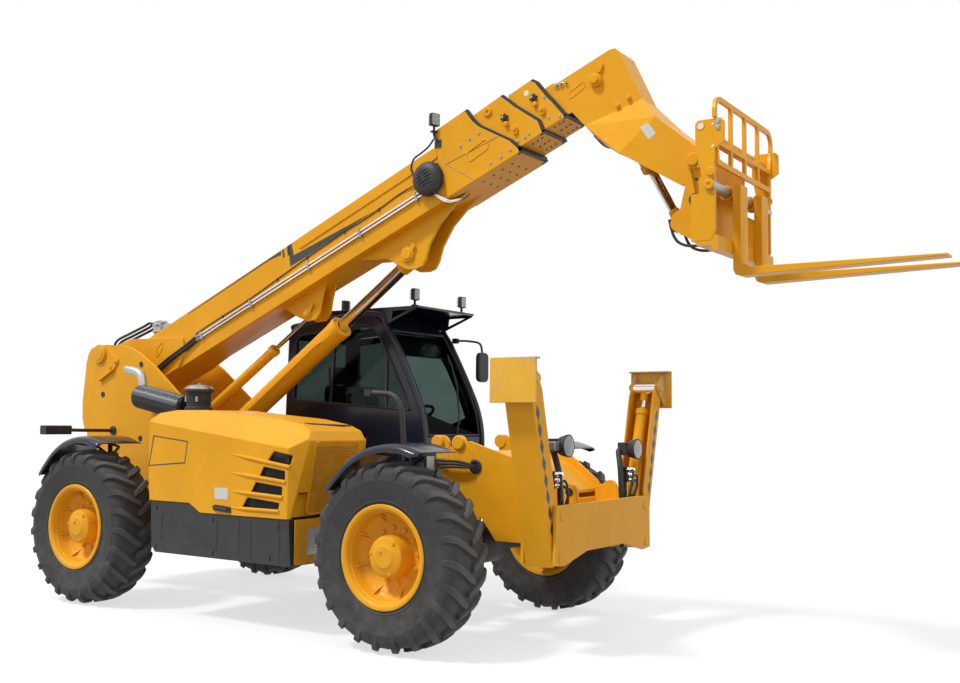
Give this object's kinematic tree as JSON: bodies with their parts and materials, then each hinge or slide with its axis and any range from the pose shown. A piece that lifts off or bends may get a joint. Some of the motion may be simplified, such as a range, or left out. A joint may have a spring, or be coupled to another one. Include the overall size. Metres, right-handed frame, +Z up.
{
  "type": "telehandler",
  "caption": "Fork handler on four large steered wheels, with a side cab, a telescopic boom raised over the chassis, a fork carriage and folding front stabilisers",
  "frame": {"origin": "on the ground under the middle of the machine's overall box", "axes": "+X forward along the boom and forks, +Y to the operator's left, +Z up"},
  "size_m": [7.716, 2.512, 4.2089],
  "materials": {
    "yellow_paint": "worn semi-gloss enamel",
    "black_paint": "semi-gloss",
    "grey_paint": "matt",
    "tyre_rubber": "dusty",
    "bare_steel": "worn",
    "chromed_rod": "polished",
    "window": "clear",
    "seat_cover": "woven",
    "cab_plastic": "grained"
  },
  "bodies": {
    "chassis": {"main_frame": "yellow_paint", "front_beam": "yellow_paint", "front_axle": "black_paint", "rear_axle": "black_paint", "engine_block": "grey_paint", "engine_skirt": "grey_paint", "rear_cowl": "black_paint", "air_cleaner": "black_paint", "silencer": "bare_steel", "cab_shell": "black_paint", "windscreen": "window", "rear_glass": "window", "roof_glass": "window", "side_glass": "window", "roof_guard": "black_paint", "driver_seat": "seat_cover", "dashboard": "cab_plastic", "fuel_tank": "black_paint"},
    "hood": {"engine_hood": "yellow_paint"},
    "door": {"cab_door": "black_paint", "door_glass": "window"},
    "steering_knuckle_front_left": {"knuckle_front_left": "black_paint", "mudguard_front_left": "black_paint"},
    "wheel_front_left": {"tyre_front_left": "tyre_rubber", "rim_front_left": "yellow_paint"},
    "steering_knuckle_front_right": {"knuckle_front_right": "black_paint", "mudguard_front_right": "black_paint"},
    "wheel_front_right": {"tyre_front_right": "tyre_rubber", "rim_front_right": "yellow_paint"},
    "steering_knuckle_rear_left": {"knuckle_rear_left": "black_paint", "mudguard_rear_left": "black_paint"},
    "wheel_rear_left": {"tyre_rear_left": "tyre_rubber", "rim_rear_left": "yellow_paint"},
    "steering_knuckle_rear_right": {"knuckle_rear_right": "black_paint", "mudguard_rear_right": "black_paint"},
    "wheel_rear_right": {"tyre_rear_right": "tyre_rubber", "rim_rear_right": "yellow_paint"},
    "boom_base": {"boom_base": "yellow_paint"},
    "boom_second": {"boom_second": "yellow_paint"},
    "boom_third": {"boom_third": "yellow_paint"},
    "boom_head": {"boom_head": "yellow_paint"},
    "fork_carriage": {"carriage": "yellow_paint", "fork_shaft": "bare_steel", "backrest": "yellow_paint"},
    "fork_left": {"fork_left": "yellow_paint"},
    "fork_right": {"fork_right": "yellow_paint"},
    "lift_barrel": {"lift_barrel": "yellow_paint"},
    "lift_rod": {"lift_rod": "chromed_rod"},
    "levelling_barrel": {"levelling_barrel": "yellow_paint"},
    "levelling_rod": {"levelling_rod": "chromed_rod"},
    "tilt_barrel": {"tilt_barrel": "black_paint"},
    "tilt_rod": {"tilt_rod": "chromed_rod"},
    "stabiliser_leg_left": {"stabiliser_leg_left": "yellow_paint"},
    "stabiliser_pad_left": {"stabiliser_pad_left": "yellow_paint"},
    "stabiliser_barrel_left": {"stabiliser_barrel_left": "yellow_paint"},
    "stabiliser_rod_left": {"stabiliser_rod_left": "chromed_rod"},
    "stabiliser_leg_right": {"stabiliser_leg_right": "yellow_paint"},
    "stabiliser_pad_right": {"stabiliser_pad_right": "yellow_paint"},
    "stabiliser_barrel_right": {"stabiliser_barrel_right": "yellow_paint"},
    "stabiliser_rod_right": {"stabiliser_rod_right": "chromed_rod"}
  },
  "joints": [
    {"name": "boom_lift", "type": "hinge", "parent": "chassis", "child": "boom_base", "pos_m": [-3.592, 0, 2.15], "axis": [0, -1, 0], "range_deg": [-23.5, 45]},
    {"name": "telescope_second", "type": "slide", "parent": "boom_base", "child": "boom_second", "axis": [0.9239, 0, 0.3827], "range_m": [0, 3.45]},
    {"name": "telescope_third", "type": "slide", "parent": "boom_second", "child": "boom_third", "axis": [0.9239, 0, 0.3827], "range_m": [0, 3.45]},
    {"name": "telescope_head", "type": "slide", "parent": "boom_third", "child": "boom_head", "axis": [0.9239, 0, 0.3827], "range_m": [0, 3.45]},
    {"name": "carriage_tilt", "type": "hinge", "parent": "boom_head", "child": "fork_carriage", "pos_m": [2.333, 0, 3.268], "axis": [0, 1, 0], "range_deg": [-30, 45]},
    {"name": "fork_left_slide", "type": "slide", "parent": "fork_carriage", "child": "fork_left", "axis": [0, 1, 0], "range_m": [-0.11, 0.21]},
    {"name": "fork_right_slide", "type": "slide", "parent": "fork_carriage", "child": "fork_right", "axis": [0, -1, 0], "range_m": [-0.11, 0.21]},
    {"name": "lift_barrel_swing", "type": "hinge", "parent": "chassis", "child": "lift_barrel", "pos_m": [-3.142, 0, 0.82], "axis": [0, -1, 0], "range_deg": [-19.9, 38.05]},
    {"name": "lift_rod_stroke", "type": "slide", "parent": "lift_barrel", "child": "lift_rod", "axis": [0.8204, 0, 0.5718], "range_m": [-0.5997, 1.1474]},
    {"name": "levelling_barrel_swing", "type": "hinge", "parent": "chassis", "child": "levelling_barrel", "pos_m": [-3.276, 0, 1.155], "axis": [0, -1, 0], "range_deg": [-19.55, 37.4]},
    {"name": "levelling_rod_stroke", "type": "slide", "parent": "levelling_barrel", "child": "levelling_rod", "axis": [0.8356, 0, 0.5493], "range_m": [-0.4391, 0.8399]},
    {"name": "tilt_barrel_swing", "type": "hinge", "parent": "boom_head", "child": "tilt_barrel", "pos_m": [1.50842, 0, 3.99964], "axis": [0, 1, 0], "range_deg": [-4.06, 6.07]},
    {"name": "tilt_rod_stroke", "type": "slide", "parent": "tilt_barrel", "child": "tilt_rod", "axis": [0.4819, 0, -0.8762], "range_m": [-0.3368, 0.2248]},
    {"name": "steer_front_left", "type": "hinge", "parent": "chassis", "child": "steering_knuckle_front_left", "pos_m": [0.5, 0.8, 0.638], "axis": [0, 0, 1], "range_deg": [-30, 30]},
    {"name": "wheel_front_left_spin", "type": "hinge", "parent": "steering_knuckle_front_left", "child": "wheel_front_left", "pos_m": [0.5, 1.0485, 0.638], "axis": [0, 1, 0], "continuous": true},
    {"name": "steer_front_right", "type": "hinge", "parent": "chassis", "child": "steering_knuckle_front_right", "pos_m": [0.5, -0.8, 0.638], "axis": [0, 0, 1], "range_deg": [-30, 30]},
    {"name": "wheel_front_right_spin", "type": "hinge", "parent": "steering_knuckle_front_right", "child": "wheel_front_right", "pos_m": [0.5, -1.0485, 0.638], "axis": [0, 1, 0], "continuous": true},
    {"name": "steer_rear_left", "type": "hinge", "parent": "chassis", "child": "steering_knuckle_rear_left", "pos_m": [-2.792, 0.8, 0.638], "axis": [0, 0, 1], "range_deg": [-30, 30]},
    {"name": "wheel_rear_left_spin", "type": "hinge", "parent": "steering_knuckle_rear_left", "child": "wheel_rear_left", "pos_m": [-2.792, 1.0485, 0.638], "axis": [0, 1, 0], "continuous": true},
    {"name": "steer_rear_right", "type": "hinge", "parent": "chassis", "child": "steering_knuckle_rear_right", "pos_m": [-2.792, -0.8, 0.638], "axis": [0, 0, 1], "range_deg": [-30, 30]},
    {"name": "wheel_rear_right_spin", "type": "hinge", "parent": "steering_knuckle_rear_right", "child": "wheel_rear_right", "pos_m": [-2.792, -1.0485, 0.638], "axis": [0, 1, 0], "continuous": true},
    {"name": "cab_door_hinge", "type": "hinge", "parent": "chassis", "child": "door", "pos_m": [-1.887, 1.248, 1.4], "axis": [0, 0, 1], "range_deg": [0, 80]},
    {"name": "engine_hood_hinge", "type": "hinge", "parent": "chassis", "child": "hood", "pos_m": [-1.092, -0.47, 1.585], "axis": [-1, 0, 0], "range_deg": [0, 60]},
    {"name": "stabiliser_left_leg", "type": "hinge", "parent": "chassis", "child": "stabiliser_leg_left", "pos_m": [1.398, 0.65, 0.66], "axis": [-1, 0, 0], "range_deg": [0, 103]},
    {"name": "stabiliser_left_pad_tilt", "type": "hinge", "parent": "stabiliser_leg_left", "child": "stabiliser_pad_left", "pos_m": [1.398, 0.94031, 1.82435], "axis": [-1, 0, 0], "range_deg": [-20, 20]},
    {"name": "stabiliser_left_barrel_swing", "type": "hinge", "parent": "chassis", "child": "stabiliser_barrel_left", "pos_m": [1.398, 0.63, 0.93], "axis": [-1, 0, 0], "range_deg": [-0.05, 109.87]},
    {"name": "stabiliser_left_rod_stroke", "type": "slide", "parent": "stabiliser_barrel_left", "child": "stabiliser_rod_left", "axis": [0, 0.3241, 0.946], "range_m": [-0.001, 0.2611]},
    {"name": "stabiliser_right_leg", "type": "hinge", "parent": "chassis", "child": "stabiliser_leg_right", "pos_m": [1.398, -0.65, 0.66], "axis": [1, 0, 0], "range_deg": [0, 103]},
    {"name": "stabiliser_right_pad_tilt", "type": "hinge", "parent": "stabiliser_leg_right", "child": "stabiliser_pad_right", "pos_m": [1.398, -0.94031, 1.82435], "axis": [1, 0, 0], "range_deg": [-20, 20]},
    {"name": "stabiliser_right_barrel_swing", "type": "hinge", "parent": "chassis", "child": "stabiliser_barrel_right", "pos_m": [1.398, -0.63, 0.93], "axis": [1, 0, 0], "range_deg": [-0.05, 109.87]},
    {"name": "stabiliser_right_rod_stroke", "type": "slide", "parent": "stabiliser_barrel_right", "child": "stabiliser_rod_right", "axis": [0, -0.3241, 0.946], "range_m": [-0.001, 0.2611]}
  ],
  "couplings": [
    {"joint": "telescope_third", "follows": "telescope_second", "ratio": 1},
    {"joint": "telescope_head", "follows": "telescope_second", "ratio": 1},
    {"joint": "lift_barrel_swing", "follows": "boom_lift", "ratio": 0.8445},
    {"joint": "lift_rod_stroke", "follows": "boom_lift", "m_per_rad": 1.4596},
    {"joint": "levelling_barrel_swing", "follows": "boom_lift", "ratio": 0.83},
    {"joint": "levelling_rod_stroke", "follows": "boom_lift", "m_per_rad": 1.0681},
    {"joint": "tilt_barrel_swing", "follows": "carriage_tilt", "ratio": 0.1337},
    {"joint": "tilt_rod_stroke", "follows": "carriage_tilt", "m_per_rad": -0.4275},
    {"joint": "steer_front_right", "follows": "steer_front_left", "ratio": 1},
    {"joint": "steer_rear_right", "follows": "steer_rear_left", "ratio": 1},
    {"joint": "stabiliser_left_barrel_swing", "follows": "stabiliser_left_leg", "ratio": 1.0662},
    {"joint": "stabiliser_left_rod_stroke", "follows": "stabiliser_left_leg", "m_per_rad": 0.1447},
    {"joint": "stabiliser_right_barrel_swing", "follows": "stabiliser_right_leg", "ratio": 1.0662},
    {"joint": "stabiliser_right_rod_stroke", "follows": "stabiliser_right_leg", "m_per_rad": 0.1447}
  ]
}
